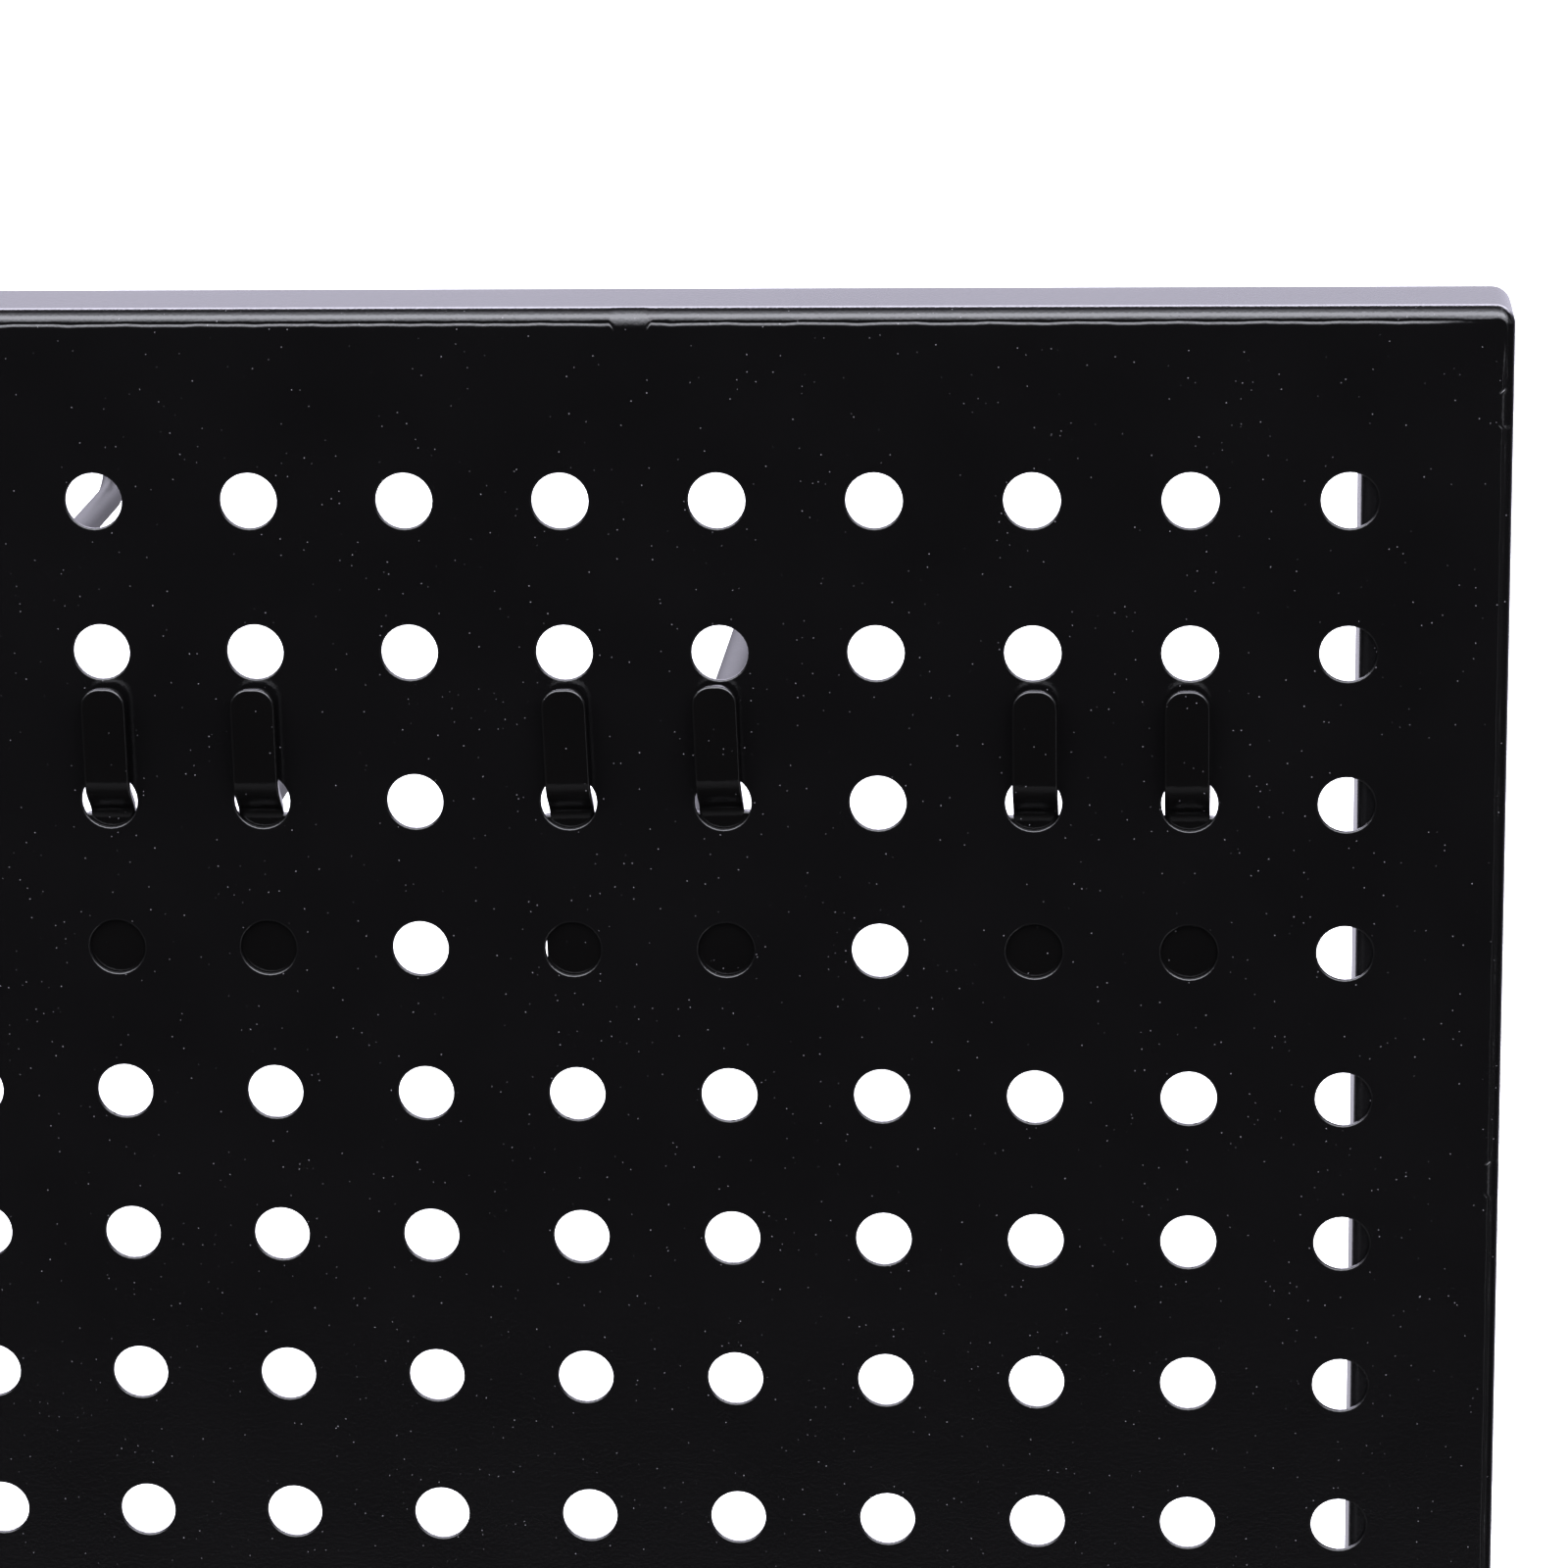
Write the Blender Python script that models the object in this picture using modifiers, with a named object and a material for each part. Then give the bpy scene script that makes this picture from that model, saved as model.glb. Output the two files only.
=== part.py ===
# Perforated steel tool wall: a folded pan over two square-tube uprights, with
# four long double-tab hooks that tilt up in the holes they hang from.
# Metres, +Z up. -Y is the smooth outer face, +Y the side the hooks reach out to.
# The origin lies between the uprights, on the plane that bears on the bench back.
import math

import bmesh
import bpy
from mathutils import Matrix, Vector

PITCH = 0.0275
COLS = 13
ROWS = 16
HOLE_FLATS = 0.010
SHEET = 0.0008
MARGIN_X = 0.028
MARGIN_Z = 0.0341
PAN_DEPTH = 0.018
BEND_R = 0.0021
CORNER_R = 0.0035
NOTCH_X = 0.0012
NOTCH_Z = 0.0037
GAP = 0.0003

TUBE = 0.025
TUBE_WALL = 0.00125
TUBE_R = 0.002
LEG = 0.190
PLUG_HEAD = 0.003
PLUG_STEM = 0.016
PLUG_CLEAR = 0.0008

HOOK_COLS = (-4.5, -1.5, 1.5, 4.5)
HOOK_ROW = 2
HOOK_T = 0.0019
TAB_W = 0.008
TAB_SPACING = 0.0267
TAB_TOP = 0.0217
TAB_REAR = 0.0019
NECK_LOW = -0.0023
JOG_DEG = 45.0
JOG_R = 0.0045
JOG_STEPS = 4
PLATE_W = 0.0385
PLATE_TOP = -0.0028
PLATE_LOW = -0.0480
ROD_D = 0.006
ROD_DROP = 0.0212
ROD_DROOP_DEG = 1.6
ROD_YAW_DEG = (0.0, 0.4, 0.0, 0.0)
ROD_REACH = 0.353
ROD_BEND_R = 0.018
ROD_BEND_DEG = 60.0
ROD_TIP = 0.012
LEAN_DEG = (0.0, 0.0, -1.4, 0.0)
LEAN_LIFT = (0.0, 0.0, 0.0004, 0.0)

SCREW_D = 0.005
SCREW_DROPS = (0.290, 0.440)
BENCH_SCREW_D = 0.008
BENCH_SCREW_UP = (0.040, 0.140)
BENCH_SCREW_OUT = 0.045

PAN_W = (COLS - 1) * PITCH + 2 * MARGIN_X
PAN_H = (ROWS - 1) * PITCH + 2 * MARGIN_Z
PAN_LOW = LEG
PAN_TOP = PAN_LOW + PAN_H
FACE_Y = -(TUBE + GAP + SHEET)
BACK_Y = FACE_Y + SHEET
ROW0_Z = PAN_TOP - MARGIN_Z
TUBE_X = PAN_W / 2 - SHEET - GAP - TUBE / 2
TUBE_Y = -TUBE / 2
TUBE_TOP = PAN_TOP - SHEET - PLUG_CLEAR - PLUG_HEAD - GAP

COLOURS = {
    "powder_black": ((0.008, 0.008, 0.010, 1.0), 0.42, 0.0),
    "hook_black": ((0.010, 0.010, 0.012, 1.0), 0.34, 0.0),
    "plug_plastic": ((0.020, 0.020, 0.022, 1.0), 0.60, 0.0),
    "zinc_steel": ((0.55, 0.56, 0.58, 1.0), 0.35, 1.0),
}


def clear_scene():
    for ob in list(bpy.data.objects):
        bpy.data.objects.remove(ob, do_unlink=True)


def make_collection(name):
    col = bpy.data.collections.new(name)
    bpy.context.scene.collection.children.link(col)
    return col


def make_material(name, look):
    colour, rough, metal = COLOURS[look]
    mat = bpy.data.materials.new(name)
    mat.use_nodes = True
    bsdf = mat.node_tree.nodes["Principled BSDF"]
    bsdf.inputs["Base Color"].default_value = colour
    bsdf.inputs["Roughness"].default_value = rough
    bsdf.inputs["Metallic"].default_value = metal
    mat.diffuse_color = colour
    return mat


def add_part(name, mesh, look, loc=(0, 0, 0), rot=(0, 0, 0)):
    ob = bpy.data.objects.new(name, mesh)
    ob.location = loc
    ob.rotation_euler = rot
    mesh.materials.clear()
    mesh.materials.append(make_material(name + "_mat", look))
    PARTS.objects.link(ob)
    return ob


def add_cutter(name, mesh, loc=(0, 0, 0), rot=(0, 0, 0)):
    ob = bpy.data.objects.new(name, mesh)
    ob.location = loc
    ob.rotation_euler = rot
    ob.hide_render = True
    ob.display_type = "WIRE"
    CUTTERS.objects.link(ob)
    return ob


def boolean(ob, other, kind):
    mod = ob.modifiers.new(kind.title() + "_" + other.name, "BOOLEAN")
    mod.operation = kind
    mod.solver = "EXACT"
    mod.object = other
    return mod


def bevel(ob, width, segments, angle=35):
    mod = ob.modifiers.new("Bevel", "BEVEL")
    mod.width = width
    mod.segments = segments
    mod.limit_method = "ANGLE"
    mod.angle_limit = math.radians(angle)
    mod.use_clamp_overlap = True
    return mod


def mesh_from(bm, name):
    mesh = bpy.data.meshes.new(name)
    bmesh.ops.recalc_face_normals(bm, faces=bm.faces)
    bm.to_mesh(mesh)
    bm.free()
    return mesh


def box_bm(size, centre=(0, 0, 0)):
    bm = bmesh.new()
    bmesh.ops.create_cube(bm, size=1.0)
    bmesh.ops.scale(bm, vec=Vector(size), verts=bm.verts)
    bmesh.ops.translate(bm, vec=Vector(centre), verts=bm.verts)
    return bm


def edges_along(bm, axis):
    found = []
    for edge in bm.edges:
        d = edge.verts[1].co - edge.verts[0].co
        others = [abs(d[i]) for i in range(3) if i != axis]
        if max(others) < 1e-7 and abs(d[axis]) > 1e-5:
            found.append(edge)
    return found


def cylinder_mesh(name, radius, length, sides, axis="Y", start=0.0, turn=0.0):
    """A cylinder along an axis that begins at start and runs length."""
    bm = bmesh.new()
    bmesh.ops.create_cone(bm, cap_ends=True, segments=sides, radius1=radius,
                          radius2=radius, depth=length)
    bmesh.ops.rotate(bm, matrix=Matrix.Rotation(turn, 3, "Z"), verts=bm.verts)
    bmesh.ops.translate(bm, vec=(0, 0, start + length / 2), verts=bm.verts)
    if axis == "Y":
        bmesh.ops.rotate(bm, matrix=Matrix.Rotation(-math.pi / 2, 3, "X"), verts=bm.verts)
    if axis == "X":
        bmesh.ops.rotate(bm, matrix=Matrix.Rotation(math.pi / 2, 3, "Y"), verts=bm.verts)
    return mesh_from(bm, name)


def outline_mesh(name, points, thickness, plane):
    """A flat outline given in XZ or YZ, thickened evenly about its own plane."""
    curve = bpy.data.curves.new(name, "CURVE")
    curve.dimensions = "2D"
    curve.fill_mode = "BOTH"
    curve.extrude = thickness / 2
    spline = curve.splines.new("POLY")
    spline.points.add(len(points) - 1)
    for point, (a, b) in zip(spline.points, points):
        point.co = (a, b, 0, 1)
    spline.use_cyclic_u = True
    ob = bpy.data.objects.new(name, curve)
    if plane == "XZ":
        ob.matrix_world = Matrix.Rotation(math.pi / 2, 4, "X")
    else:
        ob.matrix_world = Matrix(((0, 0, 1, 0), (1, 0, 0, 0), (0, 1, 0, 0), (0, 0, 0, 1)))
    return curve_to_mesh(ob)


def curve_to_mesh(ob):
    bpy.context.scene.collection.objects.link(ob)
    bpy.context.view_layer.update()
    graph = bpy.context.evaluated_depsgraph_get()
    mesh = bpy.data.meshes.new_from_object(ob.evaluated_get(graph))
    mesh.transform(ob.matrix_world)
    name, curve = ob.name, ob.data
    bpy.data.objects.remove(ob, do_unlink=True)
    bpy.data.curves.remove(curve)
    bm = bmesh.new()
    bm.from_mesh(mesh)
    bmesh.ops.remove_doubles(bm, verts=bm.verts, dist=1e-6)
    bpy.data.meshes.remove(mesh)
    return mesh_from(bm, name)


def arc(cx, cy, radius, a0, a1, steps):
    pts = []
    for i in range(steps + 1):
        a = math.radians(a0 + (a1 - a0) * i / steps)
        pts.append((cx + radius * math.cos(a), cy + radius * math.sin(a)))
    return pts


def rounded_rect(x0, z0, x1, z1, r_low, r_high, steps=4):
    return (arc(x1 - r_low, z0 + r_low, r_low, -90, 0, steps)
            + arc(x1 - r_high, z1 - r_high, r_high, 0, 90, steps)
            + arc(x0 + r_high, z1 - r_high, r_high, 90, 180, steps)
            + arc(x0 + r_low, z0 + r_low, r_low, 180, 270, steps))


def make_pan():
    """One sheet folded on all four sides, then punched."""
    bm = box_bm((PAN_W, PAN_DEPTH, PAN_H))
    bmesh.ops.delete(bm, geom=[f for f in bm.faces if f.normal.y > 0.5], context="FACES")
    bmesh.ops.bevel(bm, geom=edges_along(bm, 1), offset=CORNER_R, segments=3,
                    profile=0.5, affect="EDGES")
    low = -PAN_DEPTH / 2 + 1e-6
    rim = [e for e in bm.edges if all(v.co.y < low for v in e.verts)]
    bmesh.ops.bevel(bm, geom=rim, offset=BEND_R, segments=3, profile=0.5, affect="EDGES")
    mesh = mesh_from(bm, "panel")
    centre = (0, FACE_Y + PAN_DEPTH / 2, (PAN_LOW + PAN_TOP) / 2)
    pan = add_part("panel", mesh, "powder_black", centre)
    if mesh.polygons[0].normal.dot(mesh.polygons[0].center) < 0:
        mesh.flip_normals()
    skin = pan.modifiers.new("Sheet", "SOLIDIFY")
    skin.thickness = SHEET
    skin.offset = -1
    skin.use_even_offset = True
    radius = HOLE_FLATS / 2 / math.cos(math.pi / 8)
    punch = add_cutter("punch", cylinder_mesh("punch", radius, 0.006, 8, "Y", -0.003,
                                              math.pi / 8))
    punch.location = (-(COLS - 1) / 2 * PITCH, FACE_Y, ROW0_Z)
    for count, step in ((COLS, (PITCH, 0, 0)), (ROWS, (0, 0, -PITCH))):
        array = punch.modifiers.new("Row", "ARRAY")
        array.count = count
        array.use_relative_offset = False
        array.use_constant_offset = True
        array.constant_offset_displace = step
    boolean(pan, punch, "DIFFERENCE")
    for side in (-1, 1):
        for i, drop in enumerate(SCREW_DROPS):
            name = "pan_side_hole_%d_%d" % (side, i)
            cut = cylinder_mesh(name, SCREW_D / 2 + GAP, 0.004, 12, "X", -0.002)
            at = (side * PAN_W / 2, TUBE_Y - 0.004, PAN_TOP - drop)
            boolean(pan, add_cutter(name, cut, at), "DIFFERENCE")
        notch = mesh_from(box_bm((TUBE + NOTCH_X, PAN_DEPTH, 2 * NOTCH_Z)), "notch")
        at = (side * (TUBE_X - NOTCH_X / 2 + GAP / 2), BACK_Y + GAP / 2 + PAN_DEPTH / 2, PAN_LOW)
        boolean(pan, add_cutter("notch_%d" % side, notch, at), "DIFFERENCE")
    return pan


def make_upright(label, side):
    bm = box_bm((TUBE, TUBE, TUBE_TOP))
    bmesh.ops.delete(bm, geom=[f for f in bm.faces if abs(f.normal.z) > 0.5],
                     context="FACES")
    bmesh.ops.bevel(bm, geom=edges_along(bm, 2), offset=TUBE_R, segments=3,
                    profile=0.5, affect="EDGES")
    mesh = mesh_from(bm, "upright_" + label)
    ob = add_part("upright_" + label, mesh, "powder_black",
                  (side * TUBE_X, TUBE_Y, TUBE_TOP / 2))
    if mesh.polygons[0].normal.dot(mesh.polygons[0].center) < 0:
        mesh.flip_normals()
    wall = ob.modifiers.new("Wall", "SOLIDIFY")
    wall.thickness = TUBE_WALL
    wall.offset = -1
    wall.use_even_offset = True
    for i, drop in enumerate(SCREW_DROPS):
        name = "tube_side_hole_%s_%d" % (label, i)
        cut = cylinder_mesh(name, SCREW_D / 2 + GAP, 0.008, 12, "X", -0.004)
        at = (side * (TUBE_X + TUBE / 2), TUBE_Y - 0.004, PAN_TOP - drop)
        boolean(ob, add_cutter(name, cut, at), "DIFFERENCE")
    for i, up in enumerate(BENCH_SCREW_UP):
        name = "tube_bench_hole_%s_%d" % (label, i)
        cut = cylinder_mesh(name, BENCH_SCREW_D / 2 + GAP, 0.035, 12, "Y", -0.0175)
        boolean(ob, add_cutter(name, cut, (side * TUBE_X, TUBE_Y, up)), "DIFFERENCE")
    return ob


def make_plug(label, side, top):
    """Push-in end cap: a head as wide as the tube and a stem inside it."""
    head = box_bm((TUBE, TUBE, PLUG_HEAD), (0, 0, PLUG_HEAD / 2 + GAP))
    bmesh.ops.bevel(head, geom=edges_along(head, 2), offset=TUBE_R, segments=3,
                    profile=0.5, affect="EDGES")
    crown = [e for e in head.edges if all(v.co.z > PLUG_HEAD + GAP - 1e-6 for v in e.verts)]
    bmesh.ops.bevel(head, geom=crown, offset=0.0018, segments=2, profile=0.5,
                    affect="EDGES")
    name = "plug_%s_%s" % ("top" if top else "foot", label)
    width = TUBE - 2 * TUBE_WALL - 2 * GAP
    stem = box_bm((width, width, PLUG_STEM), (0, 0, GAP + 0.001 - PLUG_STEM / 2))
    bmesh.ops.bevel(stem, geom=edges_along(stem, 2), offset=0.0012, segments=2,
                    profile=0.5, affect="EDGES")
    where = (side * TUBE_X, TUBE_Y, TUBE_TOP if top else 0.0)
    turn = (0, 0, 0) if top else (math.pi, 0, 0)
    plug = add_part(name, mesh_from(head, name), "plug_plastic", where, turn)
    inner = add_cutter(name + "_stem", mesh_from(stem, name + "_stem"), where, turn)
    boolean(plug, inner, "UNION")
    return plug


def screw_mesh(name, radius, shank, head_r, head_h, sides, point=0.0):
    """Profile turned about Y: a head on the -Y side and a shank toward +Y."""
    bm = bmesh.new()
    profile = [(0, -head_h), (head_r * 0.70, -head_h), (head_r, -head_h * 0.35), (head_r, 0),
               (radius, 0), (radius, shank - point)]
    if point:
        profile.append((radius * 0.25, shank))
    else:
        profile[-1] = (radius, shank - 0.0005)
        profile.append((radius - 0.0005, shank))
    profile.append((0, shank))
    verts = [bm.verts.new((x, y, 0)) for x, y in profile]
    edges = [bm.edges.new(pair) for pair in zip(verts, verts[1:])]
    bmesh.ops.spin(bm, geom=verts + edges, cent=(0, 0, 0), axis=(0, 1, 0),
                   angle=2 * math.pi, steps=sides, use_merge=True)
    bmesh.ops.remove_doubles(bm, verts=bm.verts, dist=1e-6)
    return mesh_from(bm, name)


def hex_head_mesh(name, flats, height, radius, shank, point):
    """Hexagon head on the -Y side, a plain shank and a point toward +Y."""
    mesh = screw_mesh(name, radius, shank, radius * 1.25, height * 0.5, 16, point)
    hexagon = cylinder_mesh(name + "_hex", flats / 2 / math.cos(math.pi / 6), height, 6,
                            "Y", -height, math.pi / 6)
    return mesh, hexagon


def ring_mesh(name, outer, inner, thickness, sides, axis="Y", start=0.0, turn=0.0):
    """The blank of a washer or nut, and the cutter for its bore."""
    mesh = cylinder_mesh(name, outer, thickness, sides, axis, start, turn)
    bore = cylinder_mesh(name + "_bore", inner, thickness + 0.004, 16, axis, start - 0.002)
    return mesh, bore


def make_panel_screws():
    for label, side in (("left", -1), ("right", 1)):
        for i, drop in enumerate(SCREW_DROPS):
            turn = (0, 0, side * math.pi / 2)
            z = PAN_TOP - drop
            y = TUBE_Y - 0.004
            name = "panel_screw_%s_%d" % (label, i + 1)
            mesh = screw_mesh(name, SCREW_D / 2, 0.010, 0.00475, 0.0026, 16)
            add_part(name, mesh, "zinc_steel", (side * (PAN_W / 2 + GAP), y, z), turn)
            name = "weld_nut_%s_%d" % (label, i + 1)
            outer = 0.008 / 2 / math.cos(math.pi / 6)
            nut, bore = ring_mesh(name, outer, SCREW_D / 2 + GAP, 0.004, 6)
            x = side * (TUBE_X + TUBE / 2 - TUBE_WALL - GAP)
            ob = add_part(name, nut, "zinc_steel", (x, y, z), turn)
            boolean(ob, add_cutter(name + "_bore", bore, (x, y, z), turn), "DIFFERENCE")


def make_bench_screws():
    for label, side in (("left", -1), ("right", 1)):
        for i, up in enumerate(BENCH_SCREW_UP):
            where = (side * TUBE_X, -TUBE - GAP, up)
            name = "bench_washer_%s_%d" % (label, i + 1)
            disc, bore = ring_mesh(name, 0.008, BENCH_SCREW_D / 2 + GAP, 0.0016, 20,
                                   start=-0.0016)
            ob = add_part(name, disc, "zinc_steel", where)
            boolean(ob, add_cutter(name + "_bore", bore, where), "DIFFERENCE")
            where = (side * TUBE_X, -TUBE - 2 * GAP - 0.0016, up)
            name = "bench_screw_%s_%d" % (label, i + 1)
            shank = TUBE + 2 * GAP + 0.0016 + BENCH_SCREW_OUT
            mesh, hexagon = hex_head_mesh(name, 0.013, 0.0053, BENCH_SCREW_D / 2, shank,
                                          0.008)
            ob = add_part(name, mesh, "zinc_steel", where)
            boolean(ob, add_cutter(name + "_hex", hexagon, where), "UNION")


def tongue_profile():
    """Side view of one tongue, Y from the sheet's outer face and Z from the hole."""
    half = HOOK_T / 2
    turn = math.radians(JOG_DEG)
    y_tab, y_plate = -TAB_REAR - half, SHEET + GAP + half
    run = (y_plate - y_tab - 2 * JOG_R * (1 - math.cos(turn))) / math.sin(turn)
    drop = 2 * JOG_R * math.sin(turn) + run * math.cos(turn)
    inner = JOG_R - half
    reach = SHEET - (y_plate - JOG_R)
    z_end = NECK_LOW - math.sqrt(max(inner ** 2 - reach ** 2, 0.0))
    z_start = z_end + drop
    front, rear = [], []
    for i in range(JOG_STEPS + 1):
        a = turn * i / JOG_STEPS
        for side, r in ((front, JOG_R + half), (rear, JOG_R - half)):
            side.append((y_tab + JOG_R - r * math.cos(a), z_start - r * math.sin(a)))
    for i in range(JOG_STEPS + 1):
        a = turn * (1 - i / JOG_STEPS)
        for side, r in ((front, JOG_R - half), (rear, JOG_R + half)):
            side.append((y_plate - JOG_R + r * math.cos(a), z_end + r * math.sin(a)))
    low = z_end - 0.002
    return ([(y_tab + half, TAB_TOP), (y_tab - half, TAB_TOP)] + front
            + [(y_plate - half, low), (y_plate + half, low)] + rear[::-1])


def rod_path():
    """Straight out from the plate, a bend and a short tip, drooping a little, in YZ."""
    start = SHEET + GAP + HOOK_T + GAP
    top = math.radians(ROD_BEND_DEG)
    pts = [(start, 0.0)]
    for i in range(7):
        a = top * i / 6
        pts.append((ROD_REACH + ROD_BEND_R * math.sin(a), ROD_BEND_R * (1 - math.cos(a))))
    y, z = pts[-1]
    pts.append((y + ROD_TIP * math.cos(top), z + ROD_TIP * math.sin(top)))
    c, s = math.cos(math.radians(ROD_DROOP_DEG)), math.sin(math.radians(ROD_DROOP_DEG))
    return [(start + (y - start) * c + z * s, z * c - (y - start) * s) for y, z in pts]


def make_rod(name, yaw):
    curve = bpy.data.curves.new(name, "CURVE")
    curve.dimensions = "3D"
    curve.fill_mode = "FULL"
    curve.bevel_depth = ROD_D / 2
    curve.bevel_resolution = 2
    curve.use_fill_caps = True
    spline = curve.splines.new("POLY")
    pts = rod_path()
    spline.points.add(len(pts) - 1)
    for point, (y, z) in zip(spline.points, pts):
        point.co = (y * math.tan(math.radians(yaw)), y, z - ROD_DROP, 1)
    mesh = curve_to_mesh(bpy.data.objects.new(name, curve))
    rod = add_part(name, mesh, "hook_black")
    bevel(rod, 0.0008, 1, 60)
    return rod


def make_hook(number, col, lean, lift):
    """Two tongues and a plate in one stamping, and a rod welded to the plate."""
    pivot = bpy.data.objects.new("hook_%d_pivot" % number, None)
    pivot.location = (col * PITCH, FACE_Y, ROW0_Z - HOOK_ROW * PITCH + lift)
    pivot.rotation_euler = (0, math.radians(lean), 0)
    PARTS.objects.link(pivot)
    name = "hook_%d_plate" % number
    outline = rounded_rect(-PLATE_W / 2, PLATE_LOW, PLATE_W / 2, PLATE_TOP, 0.003, 0.0015, 3)
    plate = add_part(name, outline_mesh(name, outline, HOOK_T, "XZ"), "hook_black")
    plate.data.transform(Matrix.Translation((0, SHEET + GAP + HOOK_T / 2, 0)))
    plate.parent = pivot
    half = TAB_W / 2
    front = rounded_rect(-half, -0.010, half, TAB_TOP, 0.0005, 0.0034, 4)
    for i, x in enumerate((-TAB_SPACING / 2, TAB_SPACING / 2)):
        tag = "%s_tongue_%d" % (name, i + 1)
        tongue = add_cutter(tag, outline_mesh(tag, tongue_profile(), 0.012, "YZ"), (x, 0, 0))
        trim = add_cutter(tag + "_trim", outline_mesh(tag + "_trim", front, 0.030, "XZ"),
                          (x, 0, 0))
        tongue.parent = trim.parent = pivot
        boolean(tongue, trim, "INTERSECT")
        boolean(plate, tongue, "UNION")
    rod = make_rod("hook_%d_rod" % number, ROD_YAW_DEG[number - 1])
    rod.parent = pivot


clear_scene()
PARTS = make_collection("pegboard_tool_wall")
CUTTERS = make_collection("cutters")
make_pan()
for SIDE_NAME, SIDE in (("left", -1), ("right", 1)):
    make_upright(SIDE_NAME, SIDE)
    make_plug(SIDE_NAME, SIDE, True)
    make_plug(SIDE_NAME, SIDE, False)
make_panel_screws()
make_bench_screws()
for NUMBER, (COL, LEAN, LIFT) in enumerate(zip(HOOK_COLS, LEAN_DEG, LEAN_LIFT), 1):
    make_hook(NUMBER, COL, LEAN, LIFT)
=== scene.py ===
import math

import bmesh
import bpy
from mathutils import Matrix, Vector


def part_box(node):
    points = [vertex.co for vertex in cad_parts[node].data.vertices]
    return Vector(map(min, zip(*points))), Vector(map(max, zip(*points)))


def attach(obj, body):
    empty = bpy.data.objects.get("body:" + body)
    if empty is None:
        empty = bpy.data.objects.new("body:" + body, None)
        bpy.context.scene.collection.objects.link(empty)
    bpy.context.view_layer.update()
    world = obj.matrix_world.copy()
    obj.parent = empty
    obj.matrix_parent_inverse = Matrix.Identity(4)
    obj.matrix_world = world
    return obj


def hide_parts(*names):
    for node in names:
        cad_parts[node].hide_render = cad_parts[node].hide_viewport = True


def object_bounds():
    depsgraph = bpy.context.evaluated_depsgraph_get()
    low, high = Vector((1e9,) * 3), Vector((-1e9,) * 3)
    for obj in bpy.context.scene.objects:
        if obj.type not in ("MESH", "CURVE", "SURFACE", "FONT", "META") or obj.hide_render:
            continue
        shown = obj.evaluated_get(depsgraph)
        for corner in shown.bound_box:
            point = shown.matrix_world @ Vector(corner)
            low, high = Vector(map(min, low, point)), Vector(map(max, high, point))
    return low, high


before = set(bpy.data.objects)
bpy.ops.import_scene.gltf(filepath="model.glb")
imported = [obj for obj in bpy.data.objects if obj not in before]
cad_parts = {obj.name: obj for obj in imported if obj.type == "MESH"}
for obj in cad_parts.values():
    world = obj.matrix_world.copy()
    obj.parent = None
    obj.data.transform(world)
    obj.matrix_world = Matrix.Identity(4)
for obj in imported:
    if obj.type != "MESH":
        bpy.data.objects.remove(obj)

CAD_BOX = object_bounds()

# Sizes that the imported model's own design states, in metres.
PITCH = 0.0275
COLS, ROWS = 13, 16
HOLE_R = 0.005
SHEET = 0.0008
CORNER_R = 0.0035
HOOK_T = 0.0019
TAB_W = 0.008
TAB_SPACING = 0.0267
TAB_TOP = 0.0217
TAB_REAR = 0.0019
TAB_CORNER_R = 0.0034
NECK_LOW = -0.0023
JOG_DEG, JOG_R = 45.0, 0.0045
PLATE_W, PLATE_TOP, PLATE_LOW = 0.0385, -0.0028, -0.0480
PLATE_GAP = 0.0003
ROD_R = 0.003
ROD_DROP = 0.0212
ROD_DROOP_DEG = 1.6
ROD_REACH, ROD_BEND_R, ROD_BEND_DEG, ROD_TIP = 0.353, 0.018, 60.0, 0.012
HOOKS = ((-4.5, 0.0, 0.0, 0.0), (-1.5, 0.0, 0.0, 0.4), (1.5, -1.4, 0.0004, 0.0),
         (4.5, 0.0, 0.0, 0.0))  # column from the middle, lean, lift, yaw of the rod
M5_CLEAR_R, M8_CLEAR_R = 0.0028, 0.0043

LO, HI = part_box("panel")
FACE_Y = LO.y
PAN_TOP, PAN_LOW = HI.z, LO.z
HALF_W = (HI.x - LO.x) / 2
ROW0_Z = PAN_TOP - 0.0341
GRID_X = -(COLS - 1) / 2 * PITCH


# ---------------------------------------------------------------- materials

DUST_COLOUR = (0.42, 0.41, 0.43, 1.0)

def node(tree, kind, **values):
    made = tree.nodes.new(kind)
    for key, value in values.items():
        if key in made.inputs:
            made.inputs[key].default_value = value
        else:
            setattr(made, key, value)
    return made


def ramp(tree, source, stops):
    made = tree.nodes.new("ShaderNodeValToRGB")
    band = made.color_ramp
    while len(band.elements) < len(stops):
        band.elements.new(0.5)
    for element, (pos, shade) in zip(band.elements, stops):
        element.position = pos
        element.color = (*shade, 1.0)
    tree.links.new(source, made.inputs["Fac"])
    return made


def grey(value):
    return (value,) * 3


def maths(tree, operation, *values):
    """A math node's output; each value is a number or a socket to link from."""
    made = node(tree, "ShaderNodeMath", operation=operation)
    for socket, value in zip(made.inputs, values):
        if isinstance(value, (int, float)):
            socket.default_value = value
        else:
            tree.links.new(value, socket)
    return made.outputs[0]


def new_material(name):
    """A node material, its tree, its shader, the link call and object coordinates."""
    mat = bpy.data.materials.new(name)
    mat.use_nodes = True
    tree = mat.node_tree
    coords = node(tree, "ShaderNodeTexCoord").outputs["Object"]
    return mat, tree, tree.nodes["Principled BSDF"], tree.links.new, coords


def bumped(tree, bsdf, texture, strength, distance):
    bump = node(tree, "ShaderNodeBump", Strength=strength, Distance=distance)
    tree.links.new(texture.outputs["Fac"], bump.inputs["Height"])
    tree.links.new(bump.outputs["Normal"], bsdf.inputs["Normal"])


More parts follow.
